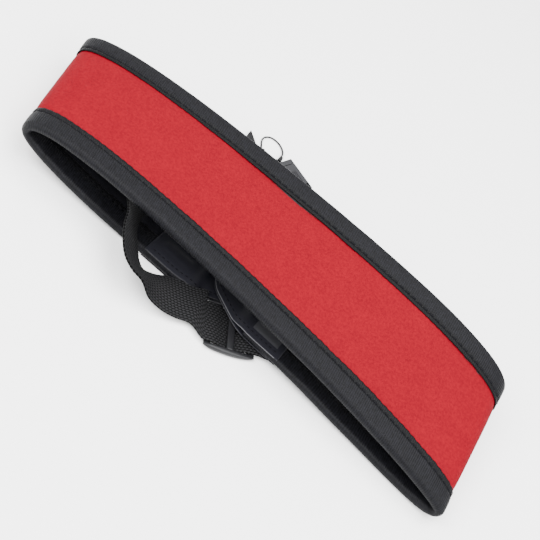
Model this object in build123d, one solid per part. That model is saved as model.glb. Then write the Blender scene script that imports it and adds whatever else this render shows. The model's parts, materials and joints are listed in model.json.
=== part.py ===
"""Padded neoprene strap, closed into a flattened loop and lying on its back half.

Frame: millimetres, +X along the strap's length, +Y across its width, +Z up.
The origin is on the resting surface, below the middle of the overlapped ends.
"""
from math import atan2, cos, degrees, pi, radians, sin, sqrt, tan
import os

from build123d import *

os.makedirs("parts", exist_ok=True)

# ---- driving dimensions -------------------------------------------------------------
HALF_LENGTH = 124.6        # from the middle of the loop to each fold
CROWN_HEIGHT = 30.0        # outside of the upper run above the surface
FOLD_HEIGHT = 14.9         # where each fold reaches furthest out
CROWN_POWER_X = 3.67       # squareness of the upper run, along and up
CROWN_POWER_Z = 2.9
CROWN_LEAN = -0.057        # the left shoulder stands a little higher than the right
LEFT_FLAT = 44.0           # the left lower run is flat from the middle to here
LEFT_POWER = 1.9
RIGHT_POWER = 18.0
RIGHT_FLAT = 34.5          # the right lower run is flat from the middle to here
RIGHT_SLOPE_END = 104.0    # and has come down to the surface here
RIGHT_SLOPE_POWER = 1.3

HALF_WIDTH = 34.2          # band, over the bindings
WARP_WIDTH = 22.5          # half width that the cone and shear figures refer to
CONE_LENGTH = 0.017        # the rear edge of the loop is this much longer
CONE_HEIGHT = 0.137        # and stands this much higher
FOLD_SHEAR = -0.20         # slant of the folds across the width
CROWN_TWIST = 0.202        # twist of the upper run at each end
BOW = -4.94                # the ends of the loop swing forward
TWIST_LENGTH = 122.7

BINDING_THICK = 0.5
BINDING_WIDTH = 11.8       # each leg of the folded tape
JERSEY_THICK = 0.5
FOAM_THICK = 2.4
BAND_THICK = 2 * (BINDING_THICK + JERSEY_THICK) + FOAM_THICK
RIGHT_END_SQUEEZE = 0.75   # the right end is sewn down to this share of its thickness
SQUEEZE_RUN = 15.0

LEAF_THICK = 0.4           # one leaf of an end tab
TAB_HALF_WIDTH = 34.0
TAB_STRAIGHT = 21.5        # from the root to the shoulders
TAB_LENGTH = 46.0
TAB_TAPER = 0.5
TAB_SHOULDER_RADIUS = 4.0
TAB_TIP_RADIUS = 14.0
TAB_LANDING = 1.0          # the upper leaf runs this far past the band's end
TAB_RAMP = 8.0             # and closes on the webbing over this length
LEFT_TAB_ROOT = -42.8
RIGHT_TAB_ROOT = 32.7
LEFT_BAND_END = -22.0
RIGHT_BAND_END = 14.0
RIGHT_TAB_BASE = 3.9       # underside of the right tab, which lies over the left
STITCH_INSET = 3.0
STITCH_WIDTH = 0.5
STITCH_HEIGHT = 0.25

WEB_WIDTH = 20.0
WEB_THICK = 1.0
LAYER_GAP = 0.1
FRONT_FOLD = (46.0, -8.3)  # where the webbing turns back towards the tri-glide
FRONT_EXIT_HEADING = -11.0
REAR_FOLD = (-34.0, 0.0)   # where the other webbing turns to the rear
REAR_HEADING = 97.0
REAR_LAYER = 5.5           # it lies on the left tab at this height
REAR_EDGE = 37.0           # past the band's rear edge it drops to the surface
REAR_DROP = 20.0
REAR_LENGTH = 76.6
REAR_HEM = 4.0

GLIDE_CENTRE = (8.74, -32.85)
GLIDE_HEADING = 30.0
GLIDE_LENGTH = 24.0        # along the webbing
GLIDE_WIDTH = 24.6
GLIDE_RAIL = 1.9
GLIDE_BAR = 3.4
GLIDE_BASE = 0.3
GLIDE_TOP = 2.9
GLIDE_BAR_TOP = 1.7
GLIDE_CENTRE_BASE = 1.4
GLIDE_TRAVEL = 8.0
GLIDE_REACH = 21.5         # the threaded stretch of webbing ends here

BUCKLE_CORNER = (-27.6, 75.6)
BUCKLE_HEADING = -18.0
BUCKLE_WIDTH = 11.0
BUCKLE_HEIGHT = 4.6
BUCKLE_FLOOR = 0.3
SOCKET_LENGTH = 16.0
SOCKET_WALL = 1.3
COLLAR_LENGTH = 3.0
PLUG_GAP = 0.35
PLUG_REACH = 10.0
EYE_LENGTH = 3.5           # the plug's eye, which holds the cord's end
EYE_WIDTH = 3.5
EYE_OFFSET = -3.25
EYE_HEIGHT = 2.6
BUTTON_LENGTH = 8.0
BUTTON_WIDTH = 5.0
BUTTON_PROUD = 0.7
RIB_WIDTH = 0.5
RIB_HEIGHT = 0.35
TAPE_WIDTH = 9.0
TAPE_THICK = 0.8
TAPE_LENGTH = 30.0
TAPE_SEWN = 11.0
TAPE_LAP = 5.0

CORD_DIAMETER = 0.9
ARC_SHARE = 0.45           # of the shorter run beside each corner
SLEEVE_BIG = 1.3           # radius of the sleeve's wide end
SLEEVE_SMALL = 0.95
SLEEVE_BORE = 0.6
SLEEVE_LENGTH = 4.0
SLEEVE_START = 1.0
KEEPER_LENGTH = 5.6
KEEPER_WIDTH = 2.6
KEEPER_HEIGHT = 1.8

ORIGIN = Vector(0, 0, 0)


# ---- the band -----------------------------------------------------------------------
class Station:
    """One cross-section of the band: a point on its outside, with its directions."""

    def __init__(self, x, z, low):
        self.x = x
        self.z = z
        self.low = low
        spread = 1.0
        if low:
            spread = min(max((abs(x) - LEFT_FLAT) / LEFT_FLAT, 0.0), 1.0)
            spread = spread * spread * (3 - 2 * spread)
        lift = z / CROWN_HEIGHT * spread
        cone = CONE_HEIGHT * CROWN_HEIGHT / WARP_WIDTH
        twist = CROWN_TWIST * x / TWIST_LENGTH
        along = CONE_LENGTH * x / WARP_WIDTH + FOLD_SHEAR * spread
        self.across = Vector(along, 1, (cone + twist) * lift)
        self.base = Vector(x, BOW * (x / TWIST_LENGTH) ** 2, z)
        self.inward = ORIGIN
        self.squeeze = 1.0
        if low and x > 0:
            run = (RIGHT_FLAT + SQUEEZE_RUN - x) / SQUEEZE_RUN
            run = min(max(run, 0.0), 1.0)
            self.squeeze = 1 - (1 - RIGHT_END_SQUEEZE) * run

    def point(self, y, depth):
        """The place y across the band and depth below its outer surface."""
        return self.base + self.across * y + self.inward * (depth * self.squeeze)


def left_low_height(x):
    reach = max((-x - LEFT_FLAT) / (HALF_LENGTH - LEFT_FLAT), 0.0)
    return LEAF_THICK + (FOLD_HEIGHT - LEAF_THICK) * (1 - sqrt(1 - reach ** LEFT_POWER))


def right_low_height(x):
    drop = (x - RIGHT_FLAT) / (RIGHT_SLOPE_END - RIGHT_FLAT)
    drop = min(max(drop, 0.0), 1.0)
    rise = (RIGHT_TAB_BASE + LEAF_THICK) * (1 - drop) ** RIGHT_SLOPE_POWER
    return rise + FOLD_HEIGHT * (1 - sqrt(1 - (x / HALF_LENGTH) ** RIGHT_POWER))


def left_low_run():
    """Outside of the left lower run, from its end out to the fold."""
    steps = 10
    for x in (LEFT_BAND_END, (LEFT_BAND_END - LEFT_FLAT) / 2):
        yield x, left_low_height(x)
    for i in range(steps):
        turn = pi / 2 * i / steps
        x = -LEFT_FLAT - (HALF_LENGTH - LEFT_FLAT) * sin(turn) ** (2 / LEFT_POWER)
        yield x, left_low_height(x)


def crown_run():
    """Outside of the upper run, from the left fold to the right fold."""
    steps = 22
    for i in range(steps + 1):
        turn = pi * i / steps
        side = -1 if turn < pi / 2 else 1
        x = side * HALF_LENGTH * abs(cos(turn)) ** (2 / CROWN_POWER_X)
        rise = abs(sin(turn)) ** (2 / CROWN_POWER_Z)
        lean = 1 + CROWN_LEAN * x / HALF_LENGTH
        yield x, FOLD_HEIGHT + (CROWN_HEIGHT - FOLD_HEIGHT) * rise * lean


def right_low_run():
    """Outside of the right lower run, from the fold in to its end."""
    turns = (15, 30, 45, 60, 72, 80)
    for turn in turns:
        x = HALF_LENGTH * cos(radians(turn)) ** (2 / RIGHT_POWER)
        yield x, right_low_height(x)
    for x in (90, 78, 67, 57, 48, 40, RIGHT_FLAT, RIGHT_BAND_END):
        yield x, right_low_height(x)


def band_stations():
    stations = [Station(x, z, True) for x, z in left_low_run()]
    stations += [Station(x, z, False) for x, z in crown_run()]
    stations += [Station(x, z, True) for x, z in right_low_run()]
    last = len(stations) - 1
    for i, station in enumerate(stations):
        before = stations[max(i - 1, 0)]
        after = stations[min(i + 1, last)]
        run = Vector(after.x - before.x, 0, after.z - before.z).normalized()
        station.inward = Vector(run.Z, 0, -run.X)
    for flat in (stations[0], stations[1], stations[2], stations[-1], stations[-2]):
        flat.inward = Vector(0, 0, 1)
    return stations


def section(points):
    return Face(Wire.make_polygon(points, close=True))


def band_solid(stations, outline):
    """A closed solid that carries one outline, of (y, depth) pairs, round the band."""
    faces = [section([s.point(y, depth) for y, depth in outline]) for s in stations]
    return Solid.make_loft([face.outer_wire() for face in faces], ruled=True)


def layer_outline(outer, inner, half_width):
    return [(-half_width, outer), (half_width, outer), (half_width, inner), (-half_width, inner)]


def binding_outline(side):
    """Folded tape: two legs and the strip that joins them round the band's edge."""
    edge = side * HALF_WIDTH
    lap = side * (HALF_WIDTH - BINDING_WIDTH)
    bend = side * (HALF_WIDTH - BINDING_THICK)
    back = BAND_THICK - BINDING_THICK
    return [
        (lap, 0),
        (edge, 0),
        (edge, BAND_THICK),
        (lap, BAND_THICK),
        (lap, back),
        (bend, back),
        (bend, BINDING_THICK),
        (lap, BINDING_THICK),
    ]


def make_band():
    stations = band_stations()
    width = HALF_WIDTH - BINDING_THICK
    face_top = BINDING_THICK
    foam_top = face_top + JERSEY_THICK
    lining_top = foam_top + FOAM_THICK
    back = lining_top + JERSEY_THICK
    return {
        "face_jersey": band_solid(stations, layer_outline(face_top, foam_top, width)),
        "pad_foam": band_solid(stations, layer_outline(foam_top, lining_top, width)),
        "lining_jersey": band_solid(stations, layer_outline(lining_top, back, width)),
        "front_binding": band_solid(stations, binding_outline(-1)),
        "rear_binding": band_solid(stations, binding_outline(1)),
    }



# ---- end tabs -----------------------------------------------------------------------
def tab_outline(inset):
    """Plan of a tab with its root at the origin, pointing along +X, as a prism."""
    wide = TAB_HALF_WIDTH - inset
    slack = inset * (sqrt(1 + TAB_TAPER ** 2) - 1) / TAB_TAPER
    shoulder = TAB_STRAIGHT - slack
    tip = TAB_LENGTH - inset
    narrow = wide - TAB_TAPER * (tip - shoulder)
    outline = Polyline(
        (inset, -wide), (shoulder, -wide), (tip, -narrow),
        (tip, narrow), (shoulder, wide), (inset, wide), close=True,
    )
    plan = make_face(outline)
    corners = plan.vertices().sort_by(Axis.X)
    plan = fillet(corners[-2:], TAB_TIP_RADIUS - inset)
    shoulders = [v for v in plan.vertices() if abs(v.X - shoulder) < LEAF_THICK]
    return fillet(shoulders, TAB_SHOULDER_RADIUS)


def tab_prism(root, heading, inset=0.0):
    """The tab's plan raised far enough to cut out any leaf."""
    plan = tab_outline(inset)
    if heading < 0:
        plan = plan.rotate(Axis.Z, 180)
    return extrude(Pos(root, 0, -1) * plan, 2 * CROWN_HEIGHT)


def leaf(profile, root, heading, inset=0.0):
    """A leaf of a tab: its profile in X and Z, cut to the tab's plan."""
    side = make_face(Polyline(*[(x, 0, z) for x, z in profile], close=True))
    slab = extrude(side, TAB_HALF_WIDTH, dir=(0, 1, 0), both=True)
    return slab & tab_prism(root, heading, inset)


def upper_profile(heading, root, end, base, top, thick):
    """Side view of an upper leaf: flat on the band's end, then down to the webbing."""
    low = base + LEAF_THICK + WEB_THICK + LAYER_GAP
    start = end + heading * TAB_LANDING
    ramp = start + heading * TAB_RAMP
    tip = root + heading * TAB_LENGTH
    under = [(root, top), (start, top), (ramp, low), (tip, low)]
    over = [(x, z + thick) for x, z in reversed(under)]
    return under + over


def stitch_ring(heading, root, profile_low):
    """A raised line of stitches that runs round a tab, inside its edge."""
    outer = leaf(profile_low, root, heading, STITCH_INSET)
    inner = tab_prism(root, heading, STITCH_INSET + STITCH_WIDTH)
    return outer - inner


def make_tab(name, heading, root, end, base, band_thick):
    top = base + LEAF_THICK + band_thick
    tip = root + heading * TAB_LENGTH
    under = [(root, base), (tip, base), (tip, base + LEAF_THICK), (root, base + LEAF_THICK)]
    upper = upper_profile(heading, root, end, base, top, LEAF_THICK)
    stitch = []
    for x, z in upper[:4]:
        stitch.append((x, z + LEAF_THICK))
    for x, z in reversed(upper[:4]):
        stitch.append((x, z + LEAF_THICK + STITCH_HEIGHT))
    return {
        f"{name}_tab_outer": leaf(under, root, heading),
        f"{name}_tab_inner": leaf(upper, root, heading),
        f"{name}_tab_stitching": stitch_ring(heading, root, stitch),
    }


# ---- webbing ------------------------------------------------------------------------
def heading_vector(degrees_round):
    return Vector(cos(radians(degrees_round)), sin(radians(degrees_round)), 0)


def strip(points, thick=WEB_THICK):
    """A flat strip through points, each a centre and half its width as a vector."""
    last = len(points) - 1
    wires = []
    for i, (centre, half) in enumerate(points):
        run = points[min(i + 1, last)][0] - points[max(i - 1, 0)][0]
        if i in (0, last):
            run = Vector(run.X, run.Y, 0)
        rise = run.cross(half).normalized() * (thick / 2)
        corners = [centre - half - rise, centre + half - rise, centre + half + rise]
        corners.append(centre - half + rise)
        wires.append(Wire.make_polygon(corners, close=True))
    return Solid.make_loft(wires, ruled=True)


def flat(x, y, z, across, half=WEB_WIDTH / 2, roll=0.0):
    """A strip's point, with its width towards a heading and rolled up from flat."""
    wide = heading_vector(across) * cos(radians(roll)) + Vector(0, 0, sin(radians(roll)))
    return (Vector(x, y, z), wide * half)


def fold_vector(heading_in, heading_out):
    """Half of the fold line of a strip that turns flat from one heading to another."""
    line = (heading_in + heading_out) / 2
    width = WEB_WIDTH / 2 / abs(sin(radians(line - heading_in)))
    return heading_vector(line) * width


def fold_bend(fold, line, heading_in, low, high):
    """The bend that joins the two layers of a folded strip, just past the fold line."""
    out = heading_vector(heading_in) * WEB_THICK
    x, y = fold
    here = Vector(x, y, low)
    corners = [here - line, here + line, here + line + out, here - line + out]
    return extrude(make_face(Polyline(*corners, close=True)), high - low, dir=(0, 0, 1))


def front_fold_webbing():
    """From inside the left tab to the fold, and back towards the tri-glide."""
    rise = WEB_THICK / 2
    x, y = FRONT_FOLD
    low = LAYER_GAP + rise
    high = low + WEB_THICK + LAYER_GAP
    inside = LEAF_THICK + rise + LAYER_GAP / 2
    tip = LEFT_TAB_ROOT + TAB_LENGTH
    back = GLIDE_HEADING + 180
    line = fold_vector(FRONT_EXIT_HEADING, back)
    tilt = FRONT_EXIT_HEADING
    lower = [
        flat(LEFT_BAND_END + 1, 0, inside, 90),
        flat(tip + 0.5, 0, inside, 90),
        flat(tip + 6, -0.3, low, 90 + tilt / 2),
        flat(tip + 14, -1.6, low, 90 + tilt),
        (Vector(x, y, low), -line),
    ]
    start = glide_point(GLIDE_REACH, 0, high)
    upper = [(Vector(x, y, high), -line), (start, glide_across())]
    bend = fold_bend(FRONT_FOLD, line, tilt, low - rise, high + rise)
    return strip(lower) + strip(upper) + bend


def glide_point(along, across, z):
    """A place in the tri-glide's own directions."""
    x, y = GLIDE_CENTRE
    run = heading_vector(GLIDE_HEADING) * along
    return Vector(x, y, z) + run + heading_vector(GLIDE_HEADING + 90) * across


def glide_across():
    return heading_vector(GLIDE_HEADING + 90) * (WEB_WIDTH / 2)


def front_start():
    return flat(-13.3, -41.2, 2.7, 96.7, roll=-10)


def threaded_webbing():
    """The stretch that goes over the end bars of the tri-glide and under its middle."""
    rise = WEB_THICK / 2
    low = LAYER_GAP + rise
    over = GLIDE_BAR_TOP + 0.3 + rise
    second = LAYER_GAP + WEB_THICK + LAYER_GAP + rise
    bar = GLIDE_LENGTH / 2
    inner = bar - GLIDE_BAR
    middle = GLIDE_BAR / 2
    heights = [
        (GLIDE_REACH, second),
        (bar + 2.5, over - 0.1),
        (bar, over + 0.1),
        (inner - 0.6, over),
        (middle + 0.7, low),
        (-middle - 0.7, low),
        (-inner + 0.6, over),
        (-bar, over + 0.1),
    ]
    points = [(glide_point(s, 0, z), glide_across()) for s, z in heights]
    return strip(points + [flat(-8.2, -38.7, 2.4, 101, roll=-7), front_start()])


def front_webbing():
    """From the tri-glide along the surface, up on edge and in over the front edge."""
    return strip([
        front_start(),
        flat(-19.5, -44.3, 3.7, 96, roll=-16),
        flat(-26, -45.8, 4.7, 93, roll=-21),
        flat(-32.4, -47.3, 8.0, 94, roll=-41),
        flat(-37.1, -48.9, 9.9, 88, roll=-44),
        flat(-40.8, -47.9, 10.8, 82, roll=-43),
        flat(-44.1, -45.9, 11.8, 75, roll=-43),
        flat(-47.9, -42.4, 13.2, 66, roll=-43),
        flat(-51.5, -37.0, 13.6, 55, roll=-42),
        flat(-55, -30, 13.2, 38, roll=-35),
        flat(-58.5, -18, 11.0, 20, roll=-18),
        flat(-60.5, -4, 8.8, 8, roll=-6),
        flat(-61, 8, 7.6, 3),
    ])


def rear_direction():
    return heading_vector(REAR_HEADING)


def rear_point(along, z):
    x, y = REAR_FOLD
    return Vector(x, y, z) + rear_direction() * along


def rear_webbing():
    """From inside the right tab over the left tab, to the rear and down."""
    rise = WEB_THICK / 2
    x, y = REAR_FOLD
    inside = RIGHT_TAB_BASE + LEAF_THICK + rise + LAYER_GAP / 2
    low = REAR_LAYER + rise
    high = low + WEB_THICK + LAYER_GAP
    floor = LAYER_GAP + rise
    tip = RIGHT_TAB_ROOT - TAB_LENGTH
    line = fold_vector(180, REAR_HEADING)
    across = heading_vector(REAR_HEADING - 90) * (WEB_WIDTH / 2)
    lower = [
        flat(RIGHT_BAND_END - 1, 0, inside, -90),
        flat(tip - 0.5, 0, inside, -90),
        flat(tip - 8, 0, low, -90),
        (Vector(x, y, low), line),
    ]
    edge = REAR_EDGE
    reach = REAR_LENGTH
    upper = [
        (Vector(x, y, high), -line),
        (rear_point(edge - 16, high), -across),
        (rear_point(edge, high), -across),
        (rear_point(edge + REAR_DROP / 3, high * 0.72), -across),
        (rear_point(edge + REAR_DROP * 0.72, high * 0.18), -across),
        (rear_point(edge + REAR_DROP, floor), -across),
        (rear_point(reach - WEB_WIDTH / 2 - REAR_HEM, floor), -across + rear_direction() * 10),
    ]
    bend = fold_bend(REAR_FOLD, line, 180, low - rise, high + rise)
    return strip(lower) + strip(upper) + bend


def rear_hem():
    """The webbing's end, turned back on itself along a slanting line."""
    floor = LAYER_GAP + WEB_THICK / 2
    start = REAR_LENGTH - WEB_WIDTH / 2 - REAR_HEM
    across = heading_vector(REAR_HEADING - 90) * (WEB_WIDTH / 2)
    slant = -across + rear_direction() * (WEB_WIDTH / 2)
    thick = 2 * WEB_THICK
    z = LAYER_GAP + WEB_THICK
    return strip([(rear_point(start, z), slant), (rear_point(start + REAR_HEM, z), slant)], thick)


# ---- tri-glide ----------------------------------------------------------------------
def glide_box(s0, s1, w0, w1, z0, z1):
    body = Box(s1 - s0, w1 - w0, z1 - z0, align=Align.MIN)
    body = Pos(s0, w0, z0) * body
    x, y = GLIDE_CENTRE
    return Pos(x, y, 0) * Rot(0, 0, GLIDE_HEADING) * body


def make_glide():
    """Two side rails, two end bars and a raised middle bar, in one moulding."""
    half = GLIDE_LENGTH / 2
    wide = GLIDE_WIDTH / 2
    rail = wide - GLIDE_RAIL
    inner = half - GLIDE_BAR
    middle = GLIDE_BAR / 2
    x, y = GLIDE_CENTRE
    sides = []
    for side in (-1, 1):
        centre = side * (wide - GLIDE_RAIL / 2)
        bar = Box(GLIDE_LENGTH, GLIDE_RAIL, GLIDE_TOP - GLIDE_BASE)
        bar = fillet(bar.edges().filter_by(Axis.Z), GLIDE_RAIL / 2.5)
        bar = fillet(bar.edges().group_by(Axis.Z)[-1], GLIDE_RAIL / 4)
        place = Pos(x, y, (GLIDE_TOP + GLIDE_BASE) / 2) * Rot(0, 0, GLIDE_HEADING)
        sides.append(place * Pos(0, centre, 0) * bar)
    ends = glide_box(-half, -inner, -rail, rail, GLIDE_BASE, GLIDE_BAR_TOP)
    ends += glide_box(inner, half, -rail, rail, GLIDE_BASE, GLIDE_BAR_TOP)
    centre = glide_box(-middle, middle, -rail, rail, GLIDE_CENTRE_BASE, GLIDE_TOP)
    return sides[0] + sides[1] + ends + centre


# ---- buckle, cord and the pieces on them ----------------------------------------------
def buckle_place():
    """The buckle's frame: origin at the middle of its open end, on its underside."""
    x, y = BUCKLE_CORNER
    across = heading_vector(BUCKLE_HEADING + 90)
    mid = Vector(x, y, BUCKLE_FLOOR) - across * (BUCKLE_WIDTH / 2)
    mid += heading_vector(BUCKLE_HEADING) * COLLAR_LENGTH
    return Pos(mid.X, mid.Y, mid.Z) * Rot(0, 0, BUCKLE_HEADING)


def centred(x0, x1, width, z0, z1):
    body = Box(x1 - x0, width, z1 - z0, align=(Align.MIN, Align.CENTER, Align.MIN))
    return Pos(x0, 0, z0) * body


def make_buckle():
    wall = SOCKET_WALL
    inner = BUCKLE_WIDTH - 2 * wall
    roof = BUCKLE_HEIGHT - wall
    shell = centred(0, SOCKET_LENGTH, BUCKLE_WIDTH, 0, BUCKLE_HEIGHT)
    shell = fillet(shell.edges().filter_by(Axis.X), wall / 2)
    shell -= centred(-1, SOCKET_LENGTH - 4 * wall, inner, wall, roof)
    button_start = 3 * wall
    pocket = centred(button_start, button_start + BUTTON_LENGTH, BUTTON_WIDTH, roof - 1, 2 * roof)
    shell -= pocket
    gap = PLUG_GAP
    button = centred(
        button_start + gap, button_start + BUTTON_LENGTH - gap,
        BUTTON_WIDTH - 2 * gap, BUCKLE_HEIGHT - wall + gap, BUCKLE_HEIGHT + BUTTON_PROUD,
    )
    for i in range(4):
        y = (i - 1.5) * 2 * RIB_WIDTH
        rib = centred(
            button_start + 2 * gap, button_start + BUTTON_LENGTH - 2 * gap,
            RIB_WIDTH, BUCKLE_HEIGHT + BUTTON_PROUD, BUCKLE_HEIGHT + BUTTON_PROUD + RIB_HEIGHT,
        )
        button += Pos(0, y, 0) * rib
    opening = TAPE_WIDTH + 2 * gap
    bar = SOCKET_LENGTH - wall
    clear = TAPE_THICK + gap
    top = BUCKLE_HEIGHT
    shell -= centred(bar - 1.5 * wall, bar, opening, -1, 2 * top)
    shell -= centred(bar, SOCKET_LENGTH + wall, opening, -1, clear)
    shell -= centred(bar, SOCKET_LENGTH + wall, opening, top - clear, 2 * top)
    plug = centred(-COLLAR_LENGTH, -gap, BUCKLE_WIDTH, 0, BUCKLE_HEIGHT)
    plug = fillet(plug.edges().filter_by(Axis.X), wall / 2)
    plug += centred(-gap, PLUG_REACH, inner - 2 * gap, wall + gap, roof - gap - 0.35)
    eye_start = -COLLAR_LENGTH - EYE_LENGTH
    eye = centred(eye_start, -COLLAR_LENGTH, EYE_WIDTH, 0, EYE_HEIGHT)
    plug += Pos(0, EYE_OFFSET, 0) * eye
    place = buckle_place()
    return {
        "buckle_socket": place * shell,
        "release_button": place * button,
        "buckle_plug": place * plug,
        "link_tape": place * link_tape(),
    }


def link_tape():
    """A narrow tape that goes round the socket's bar and is sewn back on itself."""
    leg = SOCKET_LENGTH - SOCKET_WALL - PLUG_GAP
    end = SOCKET_LENGTH + TAPE_LENGTH
    top = BUCKLE_HEIGHT
    thick = TAPE_THICK
    sewn = SOCKET_LENGTH + TAPE_SEWN
    lap = 2 * thick + LAYER_GAP
    side = Polyline(
        (end, 0, 0), (leg - thick, 0, 0), (leg - thick, 0, top),
        (SOCKET_LENGTH + thick, 0, top), (sewn, 0, lap), (sewn + TAPE_LAP, 0, lap),
        (sewn + TAPE_LAP, 0, lap - thick), (sewn, 0, lap - thick),
        (SOCKET_LENGTH + thick / 2, 0, top - thick), (leg, 0, top - thick),
        (leg, 0, thick), (end, 0, thick), close=True,
    )
    return extrude(make_face(side), TAPE_WIDTH / 2, dir=(0, 1, 0), both=True)


def cord_route():
    """Corners of the cord's middle line, from the plug's eye round to the keeper."""
    floor = CORD_DIAMETER / 2 + LAYER_GAP
    return [
        Vector(-31.46, 69.75, 1.6),
        Vector(-32.0, 74.6, 1.4),
        Vector(-33.6, 80.0, 0.8),
        Vector(-38.2, 83.2, floor),
        Vector(-43.9, 82.9, floor),
        Vector(-46.6, 78.6, floor),
        Vector(-45.0, 73.8, floor),
        Vector(-42.2, 70.1, 0.8),
    ]


def corner_radii(route):
    """The largest arc that the runs on each side of a corner allow."""
    radii = []
    for before, corner, after in zip(route, route[1:], route[2:]):
        arriving = corner - before
        leaving = after - corner
        half_turn = radians(arriving.get_angle(leaving)) / 2
        shorter = min(arriving.length, leaving.length)
        radii.append(ARC_SHARE * shorter / tan(half_turn))
    return radii


def make_cord():
    route = cord_route()
    radii = corner_radii(route)
    print("cord radii", [round(radius, 1) for radius in radii])
    path = FilletPolyline(*route, radius=radii)
    start = Plane(origin=route[0], z_dir=route[1] - route[0])
    tube = sweep(start * Circle(CORD_DIAMETER / 2), path=path)
    area = pi * CORD_DIAMETER ** 2 / 4
    print("cord length", round(path.length, 2), "volume", round(tube.volume, 2))
    print("section times length", round(area * path.length, 2))
    upward = (Align.CENTER, Align.CENTER, Align.MIN)
    cone = Cone(SLEEVE_BIG, SLEEVE_SMALL, SLEEVE_LENGTH, align=upward)
    bore = Cylinder(SLEEVE_BORE, 3 * SLEEVE_LENGTH)
    sleeve = start * Pos(0, 0, SLEEVE_START) * (cone - bore)
    end = route[-1]
    run = end - route[-2]
    turn = degrees(atan2(run.Y, run.X))
    block = centred(0, KEEPER_LENGTH, KEEPER_WIDTH, 0, KEEPER_HEIGHT)
    keeper = Pos(end.X, end.Y, LAYER_GAP) * Rot(0, 0, turn) * block
    keeper -= rear_hem()
    keeper -= rear_webbing()
    return {"cord_loop": tube, "cord_sleeve": sleeve, "cord_keeper": keeper}


if __name__ == "__main__":
    nodes = make_band()
    nodes |= make_tab("left", 1, LEFT_TAB_ROOT, LEFT_BAND_END, 0.0, BAND_THICK)
    nodes |= make_tab(
        "right", -1, RIGHT_TAB_ROOT, RIGHT_BAND_END, RIGHT_TAB_BASE, BAND_THICK * RIGHT_END_SQUEEZE,
    )
    nodes["turned_webbing"] = front_fold_webbing()
    nodes["threaded_webbing"] = threaded_webbing()
    nodes["front_webbing"] = front_webbing()
    nodes["rear_webbing"] = rear_webbing()
    nodes["webbing_hem"] = rear_hem()
    nodes["tri_glide"] = make_glide()
    nodes |= make_buckle()
    nodes |= make_cord()
    for name, shape in nodes.items():
        export_step(shape, f"parts/{name}.step")
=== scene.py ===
"""Padded neoprene carrying strap, closed into a flattened loop."""
import json
import math

import bpy
import numpy as np
from mathutils import Matrix, Vector

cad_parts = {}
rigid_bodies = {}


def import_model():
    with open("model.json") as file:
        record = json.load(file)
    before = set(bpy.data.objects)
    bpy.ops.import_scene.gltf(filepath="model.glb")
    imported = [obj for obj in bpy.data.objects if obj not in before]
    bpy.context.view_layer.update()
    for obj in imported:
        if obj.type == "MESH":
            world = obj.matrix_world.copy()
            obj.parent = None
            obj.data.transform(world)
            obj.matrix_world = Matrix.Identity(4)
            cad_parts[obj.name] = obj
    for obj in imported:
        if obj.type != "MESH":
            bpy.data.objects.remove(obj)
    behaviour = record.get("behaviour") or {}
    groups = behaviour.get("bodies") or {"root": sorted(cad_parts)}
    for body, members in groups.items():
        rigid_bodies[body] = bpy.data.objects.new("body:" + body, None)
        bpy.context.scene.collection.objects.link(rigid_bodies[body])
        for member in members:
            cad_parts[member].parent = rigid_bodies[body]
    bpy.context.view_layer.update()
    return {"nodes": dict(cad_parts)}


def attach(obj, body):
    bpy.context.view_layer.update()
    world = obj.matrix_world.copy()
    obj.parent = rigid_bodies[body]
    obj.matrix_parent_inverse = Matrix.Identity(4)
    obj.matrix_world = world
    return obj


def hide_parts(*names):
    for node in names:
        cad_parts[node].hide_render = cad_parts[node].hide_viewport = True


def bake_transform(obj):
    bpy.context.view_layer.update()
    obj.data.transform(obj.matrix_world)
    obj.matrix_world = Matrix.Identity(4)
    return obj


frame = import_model()
scene = bpy.context.scene
MM = 0.001

# ---- camera -------------------------------------------------------------------------
azimuth = math.radians(2.366)
elevation = math.radians(46.491)
roll = math.radians(39.875)
sight = Vector((15.87, -292.68, 320.2)) * MM
right = Vector((math.cos(azimuth), math.sin(azimuth), 0))
back = Vector((
    math.sin(azimuth) * math.cos(elevation),
    -math.cos(azimuth) * math.cos(elevation),
    math.sin(elevation),
))
up = back.cross(right)
cam_x = right * math.cos(roll) + up * math.sin(roll)
cam_y = up * math.cos(roll) - right * math.sin(roll)
camera_data = bpy.data.cameras.new("Camera")
camera_data.lens = 62.58
camera_data.sensor_width = 36
camera = bpy.data.objects.new("Camera", camera_data)
camera.matrix_world = Matrix((
    (cam_x.x, cam_y.x, back.x, sight.x),
    (cam_x.y, cam_y.y, back.y, sight.y),
    (cam_x.z, cam_y.z, back.z, sight.z),
    (0, 0, 0, 1),
))
scene.collection.objects.link(camera)
scene.camera = camera

# ---- cord ---------------------------------------------------------------------------
CORD = 0.9
CORD_ROUTE = [
    (-31.46, 69.75, 1.6), (-32.0, 74.6, 1.4), (-33.6, 80.0, 0.8), (-38.2, 83.2, 0.55),
    (-43.9, 82.9, 0.55), (-46.6, 78.6, 0.55), (-45.0, 73.8, 0.55), (-42.2, 70.1, 0.8),
]
cord_curve = bpy.data.curves.new("cord", "CURVE")
cord_curve.dimensions = "3D"
spline = cord_curve.splines.new("NURBS")
spline.points.add(len(CORD_ROUTE) - 1)
for point, place in zip(spline.points, CORD_ROUTE):
    point.co = (*(v * MM for v in place), 1)
    point.radius = MM
spline.order_u = 3
spline.use_endpoint_u = True
spline.resolution_u = 16
cord_curve.bevel_depth = CORD / 2
cord_curve.bevel_resolution = 4
cord_curve.use_fill_caps = True
cord = bpy.data.objects.new("cord", cord_curve)
scene.collection.objects.link(cord)
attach(cord, "strap")
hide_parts("cord_loop")


# ---- materials ----------------------------------------------------------------------
RIB = 1.05                  # from one rib of the binding tape to the next, in mm
PICK, YARN = 1.7, 1.25      # the webbing's weave, along and across, in mm


def bands(period):
    """The scale at which a wave texture repeats every period."""
    return 2 * math.pi / 20 / period


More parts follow.
